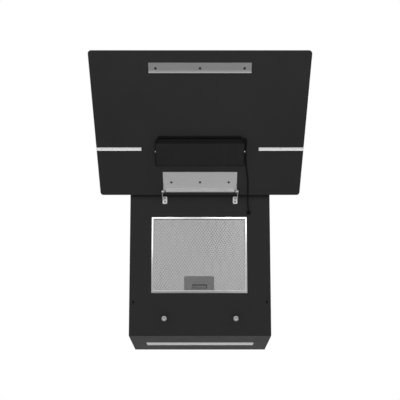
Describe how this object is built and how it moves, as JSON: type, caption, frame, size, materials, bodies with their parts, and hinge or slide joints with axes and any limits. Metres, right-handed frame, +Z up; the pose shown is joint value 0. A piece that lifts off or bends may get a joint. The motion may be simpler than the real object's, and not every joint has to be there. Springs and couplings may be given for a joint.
{
  "type": "inclined wall cooker hood",
  "caption": "Inclined wall-mounted kitchen cooker hood with its black glass front hinged open over a removable aluminium grease filter, worktop light and top duct outlet.",
  "frame": {"origin": "on the rear face of the back panel, midway between the two keyholes that the hood hangs on", "axes": "+X to the right seen from the front, +Y into the wall, +Z up"},
  "size_m": [0.603, 0.716, 0.6479],
  "materials": {
    "black_steel": "fine-textured satin black powder coat",
    "galvanised_steel": "plain galvanised sheet",
    "black_glass": "back-painted black toughened glass, glossy front",
    "bright_steel": "zinc-plated, satin",
    "filter_aluminium": "bright rolled rim, expanded mesh inside",
    "grey_plastic": "moulded matt grey",
    "frosted_plastic": "frosted translucent white",
    "black_plastic": "moulded matt black",
    "black_screw": "black oxide",
    "black_rubber": "soft black",
    "white_plastic": "moulded off-white",
    "circuit_board": "green solder mask"
  },
  "bodies": {
    "housing": {"front_panel": "black_steel", "side_panel_left": "black_steel", "side_panel_right": "black_steel", "bottom_panel": "black_steel", "top_panel": "black_steel", "back_panel": "galvanised_steel", "face_screw_left": "black_screw", "face_screw_right": "black_screw", "light_diffuser": "frosted_plastic", "light_tray": "galvanised_steel", "light_board": "white_plastic", "blower_housing": "white_plastic", "motor_bracket": "galvanised_steel", "motor": "galvanised_steel", "joint_strip": "black_rubber", "outlet_collar": "white_plastic", "collar_screw_1": "bright_steel", "collar_screw_2": "bright_steel", "collar_screw_3": "bright_steel", "mains_gland": "black_plastic", "electronics_box": "black_plastic", "cable_grommet": "black_rubber", "magnet_post_left": "black_screw", "magnet_post_right": "black_screw", "magnet_left": "bright_steel", "magnet_right": "bright_steel", "hinge_arm_left": "bright_steel", "hinge_arm_right": "bright_steel", "hinge_pin_left": "bright_steel", "hinge_pin_right": "bright_steel", "hinge_arm_screw_1_left": "bright_steel", "hinge_arm_screw_1_right": "bright_steel", "hinge_arm_screw_2_left": "bright_steel", "hinge_arm_screw_2_right": "bright_steel"},
    "fan": {"impeller": "black_plastic", "motor_shaft": "bright_steel"},
    "filter": {"filter_frame": "filter_aluminium", "filter_mesh": "filter_aluminium", "latch_body": "grey_plastic"},
    "latch": {"latch_slider": "grey_plastic"},
    "panel": {"glass_panel": "black_glass", "accent_light_left": "frosted_plastic", "accent_light_right": "frosted_plastic", "hinge_plate": "bright_steel", "hinge_plate_screw_1": "black_screw", "hinge_plate_screw_2": "black_screw", "hinge_plate_screw_3": "black_screw", "catch_strip": "bright_steel", "catch_strip_screw_1": "black_screw", "catch_strip_screw_2": "black_screw", "catch_strip_screw_3": "black_screw", "control_box_base": "black_plastic", "control_box_cover": "black_plastic", "control_board": "circuit_board", "touch_display": "black_plastic", "control_box_screw_left": "bright_steel", "control_box_screw_right": "bright_steel", "control_cable": "black_rubber"},
    "flap_left": {"backdraft_flap_left": "white_plastic"},
    "flap_right": {"backdraft_flap_right": "white_plastic"}
  },
  "joints": [
    {"name": "panel_hinge", "type": "hinge", "parent": "housing", "child": "panel", "pos_m": [0, -0.37714, 0.03312], "axis": [-1, 0, 0], "range_deg": [-145.5, 0], "deforming": ["control_cable"]},
    {"name": "filter_tilt", "type": "hinge", "parent": "housing", "child": "filter", "pos_m": [0, -0.31988, -0.02479], "axis": [-1, 0, 0], "range_deg": [0, 30]},
    {"name": "latch_slide", "type": "slide", "parent": "filter", "child": "latch", "axis": [0, -0.342, 0.9397], "range_m": [0, 0.007], "stiffness_N_per_m": 600, "springref_m": -0.006},
    {"name": "impeller_spin", "type": "hinge", "parent": "housing", "child": "fan", "pos_m": [0, -0.138, -0.098], "axis": [1, 0, 0], "continuous": true},
    {"name": "flap_left_swing", "type": "hinge", "parent": "housing", "child": "flap_left", "pos_m": [-0.0036, -0.185, 0.07], "axis": [0, 1, 0], "range_deg": [0, 72]},
    {"name": "flap_right_swing", "type": "hinge", "parent": "housing", "child": "flap_right", "pos_m": [0.0036, -0.185, 0.07], "axis": [0, -1, 0], "range_deg": [0, 72]}
  ]
}
